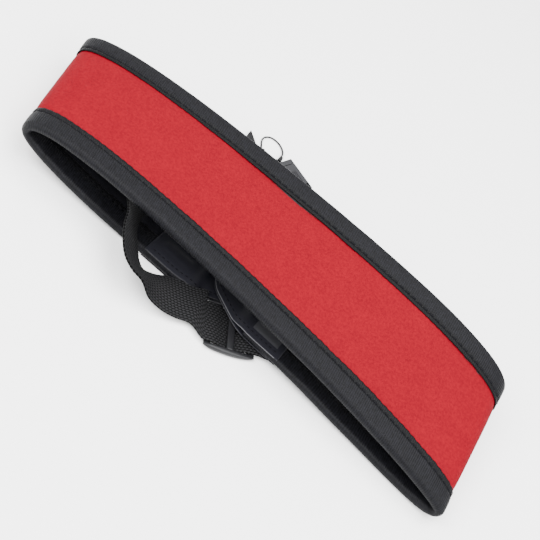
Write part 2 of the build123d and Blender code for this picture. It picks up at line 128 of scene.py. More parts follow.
class Shade:
    """A material with a few shorthands for its nodes."""

    def __init__(self, name, color, roughness, specular=0.5):
        self.mat = bpy.data.materials.new(name)
        self.mat.use_nodes = True
        self.tree = self.mat.node_tree
        self.bsdf = self.tree.nodes["Principled BSDF"]
        self.bsdf.inputs["Base Color"].default_value = (*color, 1)
        self.bsdf.inputs["Roughness"].default_value = roughness
        self.bsdf.inputs["Specular IOR Level"].default_value = specular

    def node(self, kind, **values):
        made = self.tree.nodes.new(kind)
        for key, value in values.items():
            made.inputs[key.replace("_", " ")].default_value = value
        return made

    def link(self, a, b):
        self.tree.links.new(a, b)

    def coords(self, layer="UVMap"):
        made = self.tree.nodes.new("ShaderNodeUVMap")
        made.uv_map = layer
        return made.outputs["UV"]

    def objects(self):
        return self.tree.nodes.new("ShaderNodeTexCoord").outputs["Object"]

    def noise(self, vector, scale, detail=3.0, rough=0.6):
        made = self.node("ShaderNodeTexNoise", Scale=scale, Detail=detail, Roughness=rough)
        self.link(vector, made.inputs["Vector"])
        return made.outputs["Fac"]

    def tint(self, factor, low, high):
        """The base colour runs from low to high as factor goes from 0.3 to 0.7."""
        ramp = self.tree.nodes.new("ShaderNodeValToRGB")
        ramp.color_ramp.elements[0].position = 0.3
        ramp.color_ramp.elements[1].position = 0.7
        ramp.color_ramp.elements[0].color = (*low, 1)
        ramp.color_ramp.elements[1].color = (*high, 1)
        self.link(factor, ramp.inputs["Fac"])
        self.link(ramp.outputs["Color"], self.bsdf.inputs["Base Color"])

    def bump(self, height, distance, strength=1.0):
        made = self.node("ShaderNodeBump", Distance=distance, Strength=strength)
        self.link(height, made.inputs["Height"])
        last = self.bsdf.inputs["Normal"]
        if last.is_linked:
            self.link(last.links[0].from_socket, made.inputs["Normal"])
        self.link(made.outputs["Normal"], last)

    def mix(self, first, second, share):
        """A value that is share of the first and the rest of the second."""
        made = self.node("ShaderNodeMix")
        made.inputs["Factor"].default_value = 1 - share
        self.link(first, made.inputs[2])
        self.link(second, made.inputs[3])
        return made.outputs[0]

    def times(self, first, second):
        """The product of two values; the second may be a plain number."""
        made = self.node("ShaderNodeMath")
        made.operation = "MULTIPLY"
        self.link(first, made.inputs[0])
        if isinstance(second, float):
            made.inputs[1].default_value = second
        else:
            self.link(second, made.inputs[1])
        return made.outputs[0]

    def span(self, value, start, end, low, high, smooth=False):
        """A value that goes from low to high while another goes from start to end."""
        made = self.node(
            "ShaderNodeMapRange", From_Min=start, From_Max=end, To_Min=low, To_Max=high
        )
        if smooth:
            made.interpolation_type = "SMOOTHSTEP"
        self.link(value, made.inputs["Value"])
        return made.outputs["Result"]

    def wave(self, vector, scale, direction="X"):
        made = self.node("ShaderNodeTexWave", Scale=scale)
        made.bands_direction = direction
        made.wave_profile = "SIN"
        self.link(vector, made.inputs["Vector"])
        return made.outputs["Fac"]


def knit(name, low, high, roughness, sheen):
    """Knitted cloth, mottled between two colours, with a fine grain."""
    shade = Shade(name, high, roughness, 0.06)
    place = shade.objects()
    grain = shade.noise(place, 900.0, 4.0, 0.65)
    patch = shade.noise(place, 120.0, 3.0, 0.6)
    mix = shade.node("ShaderNodeMath")
    mix.operation = "MULTIPLY_ADD"
    shade.link(grain, mix.inputs[0])
    mix.inputs[1].default_value = 0.8
    shade.link(shade.times(patch, 0.2), mix.inputs[2])
    shade.tint(mix.outputs[0], low, high)
    shade.bsdf.inputs["Sheen Weight"].default_value = sheen
    shade.bsdf.inputs["Sheen Roughness"].default_value = 0.5
    shade.bump(grain, 0.00012)
    shade.bump(shade.noise(place, 2600.0, 2.0), 0.00006)
    return shade.mat


red = knit("red_knit", (0.098, 0.0005, 0.0042), (0.166, 0.0009, 0.0066), 0.75, 0.0)
lining = knit("lining_knit", (0.004, 0.004, 0.0052), (0.009, 0.009, 0.012), 0.85, 0.03)


def ribbed_tape():
    """Tape with fine ribs: its map coordinates run along it and in from its edge, in mm."""
    shade = Shade("ribbed_tape", (0.006, 0.006, 0.008), 0.55, 0.10)
    place = shade.coords()
    ribs = shade.wave(place, bands(RIB))
    blur = shade.noise(shade.objects(), 700.0)
    split = shade.tree.nodes.new("ShaderNodeSeparateXYZ")
    shade.link(place, split.inputs[0])
    inset = split.outputs["Y"]
    # Painted shade: the tape darkens towards the stitch line, where it dips into the seam.
    near = shade.span(inset, 2.2, 4.0, 0.0, 1.0, smooth=True)
    seam_painted_shade = shade.span(near, 0.0, 1.0, 0.7, 1.0)
    # Painted shade: a thin dark line where the tape's edge meets the face.
    lap = shade.span(inset, 0.35, 0.9, 0.45, 1.0)
    ribs_with_painted_shade = shade.times(shade.times(shade.mix(ribs, blur, 0.24), seam_painted_shade), lap)
    shade.tint(ribs_with_painted_shade, (0.0007, 0.0007, 0.0010), (0.0046, 0.0046, 0.0064))
    shade.bump(ribs, 0.00011)
    shade.bump(shade.noise(shade.objects(), 1500.0, 2.0), 0.00005)
    return shade.mat


def woven():
    """Plain weave, with painted shade between its yarns: its map coordinates run along and across the
    webbing, in mm.
    """
    shade = Shade("weave", (0.0065, 0.0065, 0.0072), 0.6, 0.04)
    place = shade.coords()
    picks = shade.wave(place, bands(PICK))
    yarns = shade.wave(place, bands(YARN), "Y")
    weave_painted_shade = shade.mix(picks, yarns, 0.5)
    fuzz = shade.noise(shade.objects(), 1800.0)
    # Painted shade: the weave's hollows are tinted darker, down to black.
    shade.tint(shade.mix(weave_painted_shade, fuzz, 0.8), (0.0, 0.0, 0.0), (0.0150, 0.0150, 0.0160))
    shade.bump(fuzz, 0.00006)
    return shade.mat


def plain(name, color, roughness, specular=0.5, grain=0.0, scale=800.0):
    shade = Shade(name, color, roughness, specular)
    if grain:
        shade.bump(shade.noise(shade.objects(), scale), grain)
    return shade.mat


tape = ribbed_tape()
leather = plain("tab_coating", (0.008, 0.008, 0.011), 0.40, 0.22, 0.00005)
# A pressed patch, smoother than the coating; its lighter colour is a painted highlight of its gloss.
pressed_patch_and_highlight = plain("tab_pressed_patch_and_highlight", (0.026, 0.026, 0.029), 0.33, 0.35, 0.00003)
thread = plain("thread", (0.002, 0.002, 0.003), 0.65, 0.08)
weave = woven()
fuzzy = plain("webbing_end", (0.0065, 0.0065, 0.0072), 0.55, 0.14, 0.00008, 1500.0)
# Painted highlight on the tabs' cut edges: a dimmer copy on the left, a brighter one on the right.
edge_highlights = {
    "left": plain("cut_edge_dark", (0.016, 0.016, 0.018), 0.5, 0.2),
    "right": plain("painted_edge_highlight", (0.050, 0.050, 0.055), 0.5, 0.4),
}
gloss = plain("glide_gloss", (0.0070, 0.0070, 0.0080), 0.36, 0.22, 0.00001)
grey = plain("buckle_grey", (0.022, 0.022, 0.024), 0.45, 0.15, 0.00002)
foam = plain("foam", (0.012, 0.012, 0.013), 0.9, 0.2)
braid = Shade("braid", (0.007, 0.007, 0.008), 0.6, 0.4)
braid.bump(braid.wave(braid.objects(), 420.0, "DIAGONAL"), 0.00012)
cord_curve.materials.append(braid.mat)


# ---- meshes -------------------------------------------------------------------------
def place_piece(name, mesh, material, body, nodes):
    """A visible piece from a mesh; a piece with no body is left without a parent."""
    mesh.materials.append(material)
    mesh.shade_smooth()
    made = bpy.data.objects.new(name, mesh)
    scene.collection.objects.link(made)
    if body:
        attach(made, body)
    if nodes:
        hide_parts(*nodes)
    return made


def grid_faces(rows, columns, wrap):
    """Quads of a grid whose columns close on themselves if wrap is set.

    Known fault: the grids' order differs, so that 16 pieces come out inside-out.
    """
    i = np.arange(rows - 1)[:, None]
    j = np.arange(columns if wrap else columns - 1)[None, :]
    k = (j + 1) % columns
    quads = [i * columns + j, i * columns + k, (i + 1) * columns + k, (i + 1) * columns + j]
    return np.stack([q + 0 * i for q in quads], axis=-1).reshape(-1, 4)


def grid_mesh(name, points, wrap, maps=None, caps=False):
    """A mesh from a grid of points in mm; maps gives each point's map coordinates."""
    rows, columns = points.shape[:2]
    faces = grid_faces(rows, columns, wrap).tolist()
    if caps:
        faces.append(list(range(columns))[::-1])
        faces.append([(rows - 1) * columns + j for j in range(columns)])
    mesh = bpy.data.meshes.new(name)
    mesh.from_pydata((points.reshape(-1, 3) * MM).tolist(), [], faces)
    if maps is not None:
        layer = mesh.uv_layers.new(name="UVMap")
        flat_maps = maps.reshape(-1, 2)
        corners = np.array([loop.vertex_index for loop in mesh.loops])
        layer.data.foreach_set("uv", flat_maps[corners].ravel())
    return mesh


# ---- the band's shape ---------------------------------------------------------------
HALF_LENGTH, CROWN, FOLD = 124.6, 30.0, 14.9
HALF_WIDTH, BINDING, THICK = 34.2, 11.8, 4.4
LEAF, TAB_BASE = 0.4, 3.9
LEFT_FLAT, RIGHT_FLAT, SLOPE_END = 44.0, 34.5, 104.0
LEFT_END, RIGHT_END = -22.0, 14.0
PITCH = 3.6


def low_left(x):
    reach = np.clip((-x - LEFT_FLAT) / (HALF_LENGTH - LEFT_FLAT), 0, 1)
    return LEAF + (FOLD - LEAF) * (1 - np.sqrt(1 - reach ** 1.9))


def low_right(x):
    drop = np.clip((x - RIGHT_FLAT) / (SLOPE_END - RIGHT_FLAT), 0, 1)
    rise = (TAB_BASE + LEAF) * (1 - drop) ** 1.3
    return rise + FOLD * (1 - np.sqrt(1 - np.clip(x / HALF_LENGTH, 0, 1) ** 18))


def band_curve(step):
    """Stations round the band at an even step: place, across, inward, squeeze, length."""
    turn = np.linspace(0, math.pi / 2, 500)
    left_x = -LEFT_FLAT - (HALF_LENGTH - LEFT_FLAT) * np.sin(turn) ** (2 / 1.9)
    left_x = np.concatenate([np.linspace(LEFT_END, -LEFT_FLAT, 60)[:-1], left_x[:-1]])
    turn = np.linspace(0, math.pi, 1500)
    crown_x = -np.sign(np.cos(turn)) * HALF_LENGTH * np.abs(np.cos(turn)) ** (2 / 3.67)
    rise = np.abs(np.sin(turn)) ** (2 / 2.9) * (1 - 0.057 * crown_x / HALF_LENGTH)
    crown_z = FOLD + (CROWN - FOLD) * rise
    turn = np.radians(np.linspace(0, 80, 300))[1:]
    right_x = HALF_LENGTH * np.cos(turn) ** (2 / 18)
    right_x = np.concatenate([right_x, np.linspace(right_x[-1], RIGHT_END, 200)[1:]])
    x = np.concatenate([left_x, crown_x, right_x])
    z = np.concatenate([low_left(left_x), crown_z, low_right(right_x)])
    low = np.concatenate([left_x * 0 + 1, crown_x * 0, right_x * 0 + 1])
    run = np.hypot(np.diff(x), np.diff(z))
    keep = np.concatenate([[True], run > 1e-6])
    x, z, low = x[keep], z[keep], low[keep]
    length = np.concatenate([[0], np.cumsum(np.hypot(np.diff(x), np.diff(z)))])
    count = int(length[-1] / step)
    even = np.linspace(0, length[-1], count + 1)
    x, z, low = (np.interp(even, length, v) for v in (x, z, low))
    soft = np.ones(9) / 9
    for values in (x, z):
        padded = np.pad(values, 4, mode="reflect", reflect_type="odd")
        values[:] = np.convolve(padded, soft, "valid")
    spread = np.clip((np.abs(x) - LEFT_FLAT) / LEFT_FLAT, 0, 1)
    spread = spread * spread * (3 - 2 * spread)
    spread = 1 - low * (1 - spread)
    lift = z / CROWN * spread
    across = np.stack([
        0.017 * x / 22.5 - 0.20 * spread,
        np.ones_like(x),
        (0.137 * CROWN / 22.5 + 0.202 * x / 122.7) * lift,
    ], axis=-1)
    base = np.stack([x, -4.94 * (x / 122.7) ** 2, z], axis=-1)
    tangent = np.stack([np.gradient(x), 0 * x, np.gradient(z)], axis=-1)
    tangent /= np.linalg.norm(tangent, axis=1)[:, None]
    inward = np.stack([tangent[:, 2], 0 * x, -tangent[:, 0]], axis=-1)
    squeeze = 1 - 0.25 * np.clip((RIGHT_FLAT + 15 - x) / 15, 0, 1) * low * (x > 0)
    return base, across, inward, squeeze, even


STEP = 0.45
BASE, ACROSS, INWARD, SQUEEZE, ALONG = band_curve(STEP)


def on_band(y, depth, rows=None):
    """Places y across the band and depth below its outside, at every station."""
    rows = slice(None) if rows is None else rows
    return (
        BASE[rows, None, :] + ACROSS[rows, None, :] * y[..., None]
        + INWARD[rows, None, :] * (depth * SQUEEZE[rows, None])[..., None]
    )


def slow(values, seed, size, amount):
    """A slow, seeded wobble along the band."""
    source = np.random.default_rng(seed)
    knots = source.normal(0, amount, int(values[-1] / size) + 4)
    spots = np.arange(len(knots)) * size
    smooth = np.interp(values, spots, knots)
    width = int(size / STEP)
    window = np.hanning(width + 2)[1:-1]
    window /= window.sum()
    padded = np.pad(smooth, width, mode="edge")
    return np.convolve(padded, window, "same")[width:-width]


STITCH_IN = 2.3
phase = np.cos(2 * math.pi * ALONG / PITCH)
pinch = 0.5 + 0.5 * phase


def binding_profile(side):
    """The folded tape's outline as y and depth at every station, with its puckers."""
    lap = HALF_WIDTH - BINDING
    edge = HALF_WIDTH
    half = THICK / 2
    flat_y = np.linspace(lap, edge - 2.0, 26)
    turn = np.linspace(-math.pi / 2, math.pi / 2, 17)[1:-1]
    y = np.concatenate([
        [lap + 0.5, lap + 0.12, lap], flat_y[1:], edge - 2.0 + 2.0 * np.cos(turn),
        flat_y[:0:-1], [lap, lap + 0.12, lap + 0.5], flat_y[2:-2:3], flat_y[-3:1:-3],
    ])
    d = np.concatenate([
        [0.55, 0.48, 0.22], 0 * flat_y[1:], half + half * np.sin(turn) * 0.96,
        0 * flat_y[1:] + THICK, [THICK - 0.22, THICK - 0.48, THICK - 0.55],
        0 * flat_y[2:-2:3] + THICK - 0.55, 0 * flat_y[-3:1:-3] + 0.55,
    ])
    rows = len(ALONG)
    y = np.repeat(y[None, :], rows, 0)
    d = np.repeat(d[None, :], rows, 0)
    outer = (d < 0.3) * 1.0
    inner = (d > THICK - 0.3) * 1.0
    off = y - lap
    seam = np.exp(-((off - STITCH_IN) / 0.55) ** 2)
    swell = np.sin(np.clip((off - STITCH_IN) / (BINDING - STITCH_IN), 0, 1) * math.pi) ** 0.8
    lip = np.exp(-(off / 0.9) ** 2)
    dip = seam * (0.30 + 0.26 * pinch[:, None]) - 0.22 * swell + lip * 0.05 * (1 - pinch[:, None])
    wander = slow(ALONG, 11 + side, 9.0, 0.09)[:, None]
    ripple = slow(ALONG, 21 + side, 2.2, 0.05)[:, None] * swell
    d = d + outer * (dip + ripple) - inner * (dip + ripple)
    fray = slow(ALONG, 31 + side, 5.0, 0.10)[:, None] - 0.10 * phase[:, None]
    y = y + lip * (outer + inner) * fray
    y = y + wander * 0.5
    return side * y, d


def binding(side, name, node):
    """One of the folded tapes along the band's edges."""
    y, d = binding_profile(side)
    points = on_band(y, d)
    off = np.abs(y) - (HALF_WIDTH - BINDING)
    maps = np.stack(np.broadcast_arrays(ALONG[:, None], off), axis=-1)
    mesh = grid_mesh(name, points, True, maps, caps=True)
    return place_piece(name, mesh, tape, "strap", [node])


def panel(name, node, outside, material):
    """The knitted face or lining: a closed skin, a little domed between the bindings."""
    reach = HALF_WIDTH - BINDING + 2.0
    y = np.linspace(-reach, reach, 56)
    lap = HALF_WIDTH - BINDING
    dome = np.clip(1 - (np.abs(y) / lap) ** 6, 0, 1) * 0.42
    edge = np.exp(-((lap - np.abs(y)) / 1.2) ** 2) * 0.25
    d = 0.62 - dome + edge
    rows = len(ALONG)
    d = np.repeat(d[None, :], rows, 0)
    y = np.repeat(y[None, :], rows, 0)
    for seed, size, amount in ((5, 26.0, 0.16), (6, 11.0, 0.05)):
        d = d + slow(ALONG, seed, size, amount)[:, None] * np.cos(y / (size * 0.9) + seed)
    if not outside:
        d = THICK - d
    back_d = np.full_like(d, 1.1 if outside else THICK - 1.1)
    y2 = np.concatenate([y, y[:, ::-1]], axis=1)
    d2 = np.concatenate([d, back_d], axis=1)
    maps = np.stack(np.broadcast_arrays(ALONG[:, None], y2), axis=-1)
    mesh = grid_mesh(name, on_band(y2, d2), True, maps, caps=True)
    return place_piece(name, mesh, material, "strap", [node])


def capsules(name, centres, runs, lifts, length, radius):
    """Short lengths of thread, each along its run, as one mesh."""
    ring = 8
    profile = [(-0.5, 0.25), (-0.42, 0.75), (-0.2, 1.0), (0.2, 1.0), (0.42, 0.75), (0.5, 0.25)]
    angle = np.arange(ring) * 2 * math.pi / ring
    verts, faces = [], []
    sides = np.cross(runs, lifts)
    for centre, run, lift, side in zip(centres, runs, lifts, sides):
        start = len(verts)
        for t, r in profile:
            for a in angle:
                spot = side * (math.cos(a) * r * radius) + lift * (math.sin(a) * r * radius)
                arch = lift * (-(2 * t) ** 2 * radius * 1.1)
                verts.append(centre + run * (t * length) + spot + arch)
        for i in range(len(profile) - 1):
            for j in range(ring):
                k = (j + 1) % ring
                a = start + i * ring
                faces.append((a + j, a + k, a + ring + k, a + ring + j))
        faces.append(tuple(start + j for j in range(ring))[::-1])
        faces.append(tuple(start + (len(profile) - 1) * ring + j for j in range(ring)))
    mesh = bpy.data.meshes.new(name)
    mesh.from_pydata((np.array(verts) * MM).tolist(), [], faces)
    return mesh


def stitch_row(side, outside, name):
    """Stitches along a binding, one to each pucker."""
    spots = np.arange(PITCH / 2, ALONG[-1] - PITCH / 2, PITCH)
    rows = np.round(spots / STEP).astype(int)
    jitter = np.random.default_rng(3 + side)
    y = np.full((len(rows), 1), side * (HALF_WIDTH - BINDING + STITCH_IN))
    y = y + jitter.normal(0, 0.05, y.shape)
    depth = 0.24 if outside else THICK - 0.24
    centres = on_band(y, np.full_like(y, depth), rows)[:, 0]
    runs = BASE[np.minimum(rows + 3, len(BASE) - 1)] - BASE[np.maximum(rows - 3, 0)]
    runs /= np.linalg.norm(runs, axis=1)[:, None]
    across = ACROSS[rows] / np.linalg.norm(ACROSS[rows], axis=1)[:, None]
    runs = runs + across * (side * 0.16)
    runs /= np.linalg.norm(runs, axis=1)[:, None]
    lifts = np.cross(runs, across)
    flip = np.sign((lifts * -INWARD[rows]).sum(1))[:, None] * (1 if outside else -1)
    lifts = lifts * flip
    mesh = capsules(name, centres, runs, lifts, 2.7, 0.56)
    return place_piece(name, mesh, thread, "strap", [])


panel("face", "face_jersey", True, red)
panel("lining", "lining_jersey", False, lining)
for side, word in ((-1, "front"), (1, "rear")):
    binding(side, f"{word}_tape", f"{word}_binding")
    for outside, where in ((True, "outer"), (False, "inner")):
        stitch_row(side, outside, f"{word}_{where}_stitches")


# ---- end tabs -----------------------------------------------------------------------
TAB = {"half": 34.0, "straight": 21.5, "length": 46.0, "taper": 0.5, "tip": 14.0}
SEAM_IN = 3.0
# side, heading, root, where the band ends, height, thickness between the leaves, glossy patch
TABS = (
    ("left", 1, -42.8, 20.8, 0.0, THICK, (4.5, 20.5, -27.2, -21.4)),
    ("right", -1, 32.7, 18.7, TAB_BASE, THICK * 0.75, (3.0, 17.2, -29.0, -23.8)),
)


def half_width(u):
    """Half the tab's width at u from its root, with its rounded tip and shoulders."""
    taper = TAB["half"] - TAB["taper"] * (u - TAB["straight"])
    soft = 1.2
    wide = TAB["half"] - soft * np.log1p(np.exp((TAB["half"] - taper) / soft))
    end = TAB["length"]
    slope = math.atan(TAB["taper"])
    narrow = TAB["half"] - TAB["taper"] * (end - TAB["straight"])
    r = TAB["tip"]
    setback = r * math.tan((math.pi / 2 - slope) / 2)
    centre_u = end - r
    centre_v = narrow - setback
    arc_start = centre_u + r * math.sin(slope)
    arc = centre_v + np.sqrt(np.clip(r * r - (u - centre_u) ** 2, 0, None))
    return np.where(u > arc_start, np.minimum(arc, wide), wide)


def tab_leaf(name, node, heading, root, low, high, patch=None):
    """One leaf of an end tab. low and high give its faces' heights at u from the root."""
    t = np.linspace(0, 1, 90)
    u = TAB["length"] * (1 - (1 - t) ** 1.6)
    hw = half_width(u)
    v = np.linspace(-1, 1, 81)
    v = np.sign(v) * (1 - (1 - np.abs(v)) ** 1.3)
    uu, vv = np.meshgrid(u, v, indexing="ij")
    yy = vv * hw[:, None]
    inset = np.minimum(hw[:, None] - np.abs(yy), np.minimum(TAB["length"] - uu, uu + 0.05))
    bevel = 0.16 * np.exp(-(inset / 0.18) ** 2)
    groove = 0.16 * np.exp(-((inset - SEAM_IN) / 0.45) ** 2)
    top = high(uu) - bevel - groove
    if patch is not None:
        u0, u1, v0, v1 = patch
        du = np.clip(np.minimum(uu - u0, u1 - uu) / 1.6, 0, 1)
        dv = np.clip(np.minimum(yy - v0, v1 - yy) / 1.6, 0, 1)
        top = top + 0.35 * np.sin(du * math.pi / 2) * np.sin(dv * math.pi / 2)
    bottom = low(uu) + bevel * 0.5
    x = root + heading * uu
    upper = np.stack([x, yy, top], axis=-1)
    lower = np.stack([x, yy, bottom], axis=-1)
    around = np.concatenate([upper, lower[:, ::-1]], axis=1)
    mesh = grid_mesh(name, around, True, None, caps=True)
    place_piece(name, mesh, leather, "strap", [node])
    if patch is not None:
        # Known fault: on the inside-out left leaf this picks the underside.
        # The patch's lighter colour is a painted highlight on top of its real gloss.
        mesh.materials.append(pressed_patch_and_highlight)
        for face in mesh.polygons:
            u_at = (face.center.x / MM - root) * heading
            v_at = face.center.y / MM
            inside = u0 < u_at < u1 and v0 < v_at < v1 and face.normal.z > 0.3
            face.material_index = 1 if inside else 0


def level(height, rise=0.0):
    """Height of a flat face."""
    return lambda u: 0 * u + height + rise


def ramp(base, top, end, thick):
    """Height of an upper leaf: flat on the band's end, down to the webbing past it."""
    low = base + LEAF + 1.1

    def height(u):
        t = np.clip((u - end - 1.0) / 8.0, 0, 1)
        t = t * t * (3 - 2 * t)
        return top + (low - top) * t + thick

    return height


def tab_stitches(name, node, heading, root, height):
    """Stitches that run round a tab, inside its edge."""
    pitch = 2.6
    u = np.linspace(SEAM_IN, TAB["length"] - SEAM_IN, 300)
    hw = half_width(u) - SEAM_IN * 1.05
    path = np.concatenate([
        np.stack([u, -hw], axis=-1),
        np.stack([np.full(40, u[-1]), np.linspace(-hw[-1], hw[-1], 40)], axis=-1)[1:-1],
        np.stack([u[::-1], hw[::-1]], axis=-1),
    ])
    run = np.concatenate([[0], np.cumsum(np.hypot(*np.diff(path, axis=0).T))])
    spots = np.arange(0.5, run[-1], pitch)
    ahead = np.minimum(spots + 0.6, run[-1])
    at = np.stack([np.interp(spots, run, path[:, k]) for k in (0, 1)], axis=-1)
    to = np.stack([np.interp(ahead, run, path[:, k]) for k in (0, 1)], axis=-1)
    place = np.stack([root + heading * at[:, 0], at[:, 1], height(at[:, 0]) - 0.08], axis=-1)
    other = np.stack([root + heading * to[:, 0], to[:, 1], height(to[:, 0]) - 0.08], axis=-1)
    runs = other - place
    runs /= np.linalg.norm(runs, axis=1)[:, None]
    lifts = np.zeros_like(runs) + (0, 0, 1.0)
    lifts -= runs * (runs * lifts).sum(1)[:, None]
    lifts /= np.linalg.norm(lifts, axis=1)[:, None]
    mesh = capsules(name, place, runs, lifts, 1.9, 0.24)
    return place_piece(name, mesh, thread, "strap", [node])


for word, heading, root, end, base, thick, patch in TABS:
    tab_leaf(f"{word}_leaf_outer", f"{word}_tab_outer", heading, root, level(base), level(base, LEAF))
    top = base + LEAF + thick
    under = ramp(base, top, end, 0.0)
    over = ramp(base, top, end, LEAF)
    tab_leaf(f"{word}_leaf_inner", f"{word}_tab_inner", heading, root, under, over, patch)
    tab_stitches(f"{word}_leaf_stitches", f"{word}_tab_stitching", heading, root, over)


def tube(name, centres, radius, material):
    """A round bead along a line of points in mm."""
    run = np.gradient(centres, axis=0)
    run /= np.linalg.norm(run, axis=1)[:, None]
    side = np.cross(run, (0, 0, 1.0))
    side /= np.linalg.norm(side, axis=1)[:, None]
    lift = np.cross(side, run)
    angle = np.arange(8) * math.pi / 4
    ring = (
        side[:, None, :] * np.cos(angle)[None, :, None]
        + lift[:, None, :] * np.sin(angle)[None, :, None]
    )
    mesh = grid_mesh(name, centres[:, None, :] + ring * radius, True, None, caps=True)
    return place_piece(name, mesh, material, "strap", [])


def tab_rim(word, heading, root, height):
    """A painted highlight along the cut edge of an inner leaf, lighter than its face."""
    u = TAB["length"] * (1 - (1 - np.linspace(0.02, 1, 160)) ** 2.2)
    hw = half_width(u)
    path = np.concatenate([
        np.stack([u, -hw], axis=-1),
        np.stack([np.full(40, u[-1]), np.linspace(-hw[-1], hw[-1], 42)[1:-1]], axis=-1),
        np.stack([u[::-1], hw[::-1]], axis=-1),
    ])
    place = np.stack([root + heading * path[:, 0], path[:, 1], height(path[:, 0]) - 0.16], axis=-1)
    return tube(f"{word}_leaf_rim", place, 0.19, edge_highlights[word])


for word, heading, root, end, base, thick, _ in TABS:
    tab_rim(word, heading, root, ramp(base, base + LEAF + thick, end, LEAF))

# ---- tri-glide ------------------------------------------------------------------------
GLIDE = (8.74, -32.85)
GLIDE_HEADING = 30
GLIDE_TURN = math.radians(GLIDE_HEADING)


def moulded(path, half_w, half_h):
    """Part of the moulding along a path of along, across, up; its section is rounded."""
    angle = np.linspace(0, 2 * math.pi, 25)[:-1]
    cs = np.sign(np.cos(angle)) * np.abs(np.cos(angle)) ** 0.6
    sn = np.sign(np.sin(angle)) * np.abs(np.sin(angle)) ** 0.6
    run = np.gradient(path, axis=0)
    run /= np.linalg.norm(run, axis=1)[:, None]
    side = np.stack([-run[:, 1], run[:, 0], 0 * run[:, 0]], axis=-1)
    points = (
        path[:, None, :] + side[:, None, :] * (half_w[:, None] * cs)[..., None]
        + np.array([0, 0, 1.0]) * (half_h[:, None] * sn)[..., None]
    )
    c, s = math.cos(GLIDE_TURN), math.sin(GLIDE_TURN)
    x = GLIDE[0] + points[..., 0] * c - points[..., 1] * s
    y = GLIDE[1] + points[..., 0] * s + points[..., 1] * c
    return np.stack([x, y, points[..., 2]], axis=-1)


def glide_parts():
    """Two rails, of which only the front one bulges, the two outer bars and the middle one."""
    along = np.linspace(-1, 1, 61)
    ends = np.sqrt(np.clip(1 - np.abs(along) ** 6, 0.01, None))
    parts = []
    for side in (-1, 1):
        bulge = (1.5 if side < 0 else 0.0) * (1 - along ** 2)
        path = np.stack([12.0 * along, side * (11.2 + bulge * 0.5), 1.65 + 0 * along], axis=-1)
        tall = 1.0 + 0.3 * (1 - along ** 2)
        parts.append(moulded(path, (0.85 + bulge * 0.4) * ends, tall * ends))
    for s, low, high in ((-10.3, 0.3, 1.7), (10.3, 0.3, 1.7), (0.0, 1.4, 2.9)):
        path = np.stack([s + 0 * along, 11.0 * along, (low + high) / 2 + 0 * along], axis=-1)
        parts.append(moulded(path, 1.65 + 0 * along, (high - low) / 2 + 0 * along))
    return parts


def joined_grids(name, parts):
    """One mesh from several closed grids."""
    verts, faces, start = [], [], 0
    for points in parts:
        rows, columns = points.shape[:2]
        faces += (grid_faces(rows, columns, True) + start).tolist()
        faces.append([start + j for j in range(columns)][::-1])
        faces.append([start + (rows - 1) * columns + j for j in range(columns)])
        verts.append(points.reshape(-1, 3))
        start += rows * columns
    mesh = bpy.data.meshes.new(name)
    mesh.from_pydata((np.concatenate(verts) * MM).tolist(), [], faces)
    return mesh


moulding = joined_grids("glide", glide_parts())
place_piece("glide", moulding, gloss, "tri_glide", ["tri_glide"])


# ---- webbing ------------------------------------------------------------------------
WEB_HALF, WEB_THICK = 10.0, 1.0
WEAVE_HEIGHT = 0.20
FINE = 0.28                 # from one point of the webbing's grid to the next


def spline_through(values, count):
    """A smooth curve through rows of values, evenly spread over count samples."""
    n = len(values)
    chord = np.linalg.norm(np.diff(values[:, :3], axis=0), axis=1)
    knot = np.concatenate([[0], np.cumsum(np.maximum(chord, 1e-6))])
    slope = np.gradient(values, knot, axis=0)
    t = np.linspace(0, knot[-1], count)
    i = np.clip(np.searchsorted(knot, t, side="right") - 1, 0, n - 2)
    h = (knot[i + 1] - knot[i])[:, None]
    s = ((t - knot[i])[:, None]) / h
    a, b = values[i], values[i + 1]
    ma, mb = slope[i] * h, slope[i + 1] * h
    h00, h10 = 2 * s ** 3 - 3 * s ** 2 + 1, s ** 3 - 2 * s ** 2 + s
    h01, h11 = 3 * s ** 2 - 2 * s ** 3, s ** 3 - s ** 2
    return h00 * a + h10 * ma + h01 * b + h11 * mb, t


def straight_through(values, count):
    """Straight lines through rows of values, evenly spread over count samples."""
    chord = np.linalg.norm(np.diff(values[:, :3], axis=0), axis=1)
    run = np.concatenate([[0], np.cumsum(chord)])
    along = np.linspace(0, run[-1], count)
    return np.stack([np.interp(along, run, column) for column in values.T], axis=-1), along


